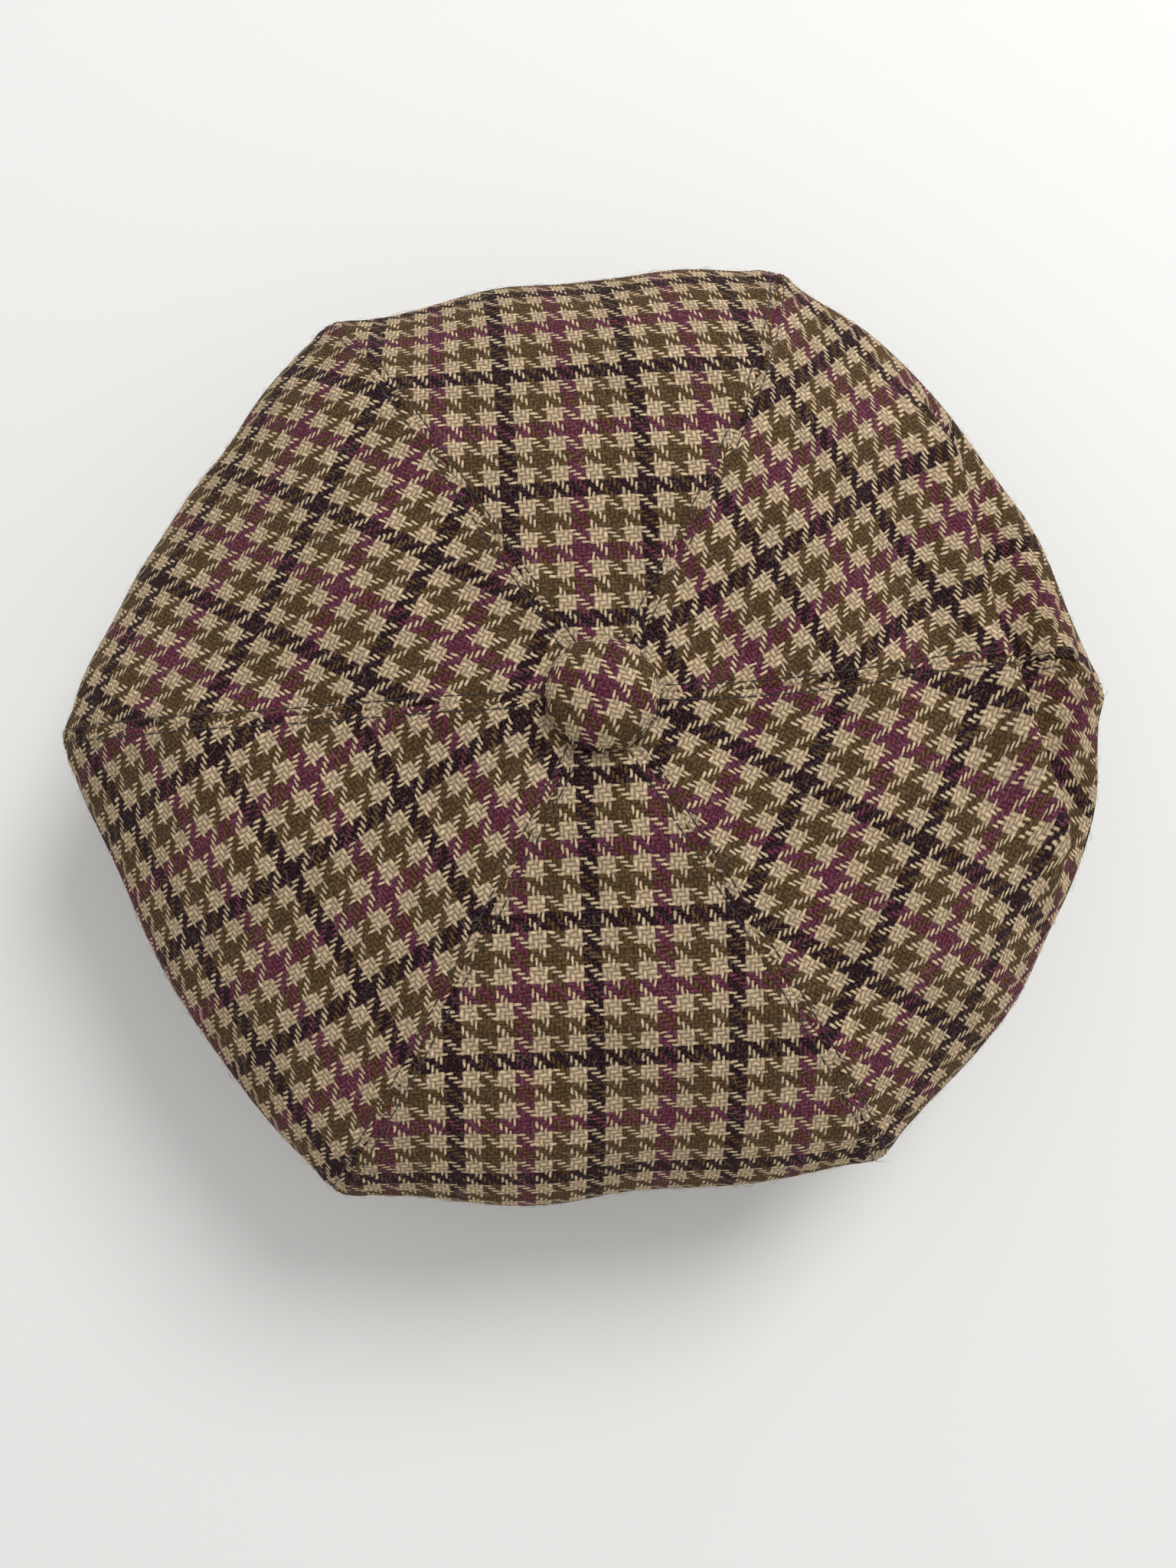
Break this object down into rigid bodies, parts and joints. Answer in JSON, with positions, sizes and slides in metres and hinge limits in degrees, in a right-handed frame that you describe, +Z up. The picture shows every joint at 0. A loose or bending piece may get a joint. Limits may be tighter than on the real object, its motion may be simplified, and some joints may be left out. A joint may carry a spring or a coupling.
{
  "type": "newsboy cap",
  "caption": "Soft tweed newsboy cap: full panelled crown with a covered button, headband, lining and a short stiffened peak that flexes at its seam.",
  "frame": {"origin": "middle of the head opening, in the plane of the headband's lower edge", "axes": "+Z up through the covered button, -Y towards the peak at the front, +X towards the wearer's left"},
  "size_m": [0.27, 0.3, 0.1073],
  "materials": {
    "tweed": "woolly houndstooth tweed",
    "satin_lining": "satin",
    "ribbed_ribbon": "ribbed",
    "buckram": "coarse plain weave",
    "peak_board": "matte",
    "topstitch_thread": "twisted thread",
    "button_metal": "pressed"
  },
  "bodies": {
    "cap": {"sweatband": "ribbed_ribbon", "headband_buckram": "buckram", "headband": "tweed", "crown_topstitching": "topstitch_thread", "crown_tip_disc": "buckram", "button_shank_thread": "topstitch_thread", "crown_panel_front_left": "tweed", "lining_panel_front_left": "satin_lining", "crown_panel_left": "tweed", "lining_panel_left": "satin_lining", "crown_panel_back_left": "tweed", "lining_panel_back_left": "satin_lining", "crown_panel_back_right": "tweed", "lining_panel_back_right": "satin_lining", "crown_panel_right": "tweed", "lining_panel_right": "satin_lining", "crown_panel_front_right": "tweed", "lining_panel_front_right": "satin_lining"},
    "peak": {"peak_under_cover": "tweed", "peak_top_cover": "tweed", "peak_board": "peak_board", "peak_topstitching": "topstitch_thread"},
    "button": {"button_cover": "tweed", "button_shell": "button_metal", "button_back_plate": "button_metal"}
  },
  "joints": [
    {"name": "peak_flex", "type": "hinge", "parent": "cap", "child": "peak", "pos_m": [0, -0.1033, 0.01135], "axis": [-1, 0, 0], "range_deg": [-15, 15], "stiffness_Nm_per_rad": 0.4},
    {"name": "button_swivel", "type": "hinge", "parent": "cap", "child": "button", "pos_m": [0, 0, 0.09885], "axis": [0, 0, 1], "range_deg": [-25, 25], "stiffness_Nm_per_rad": 0.02}
  ]
}
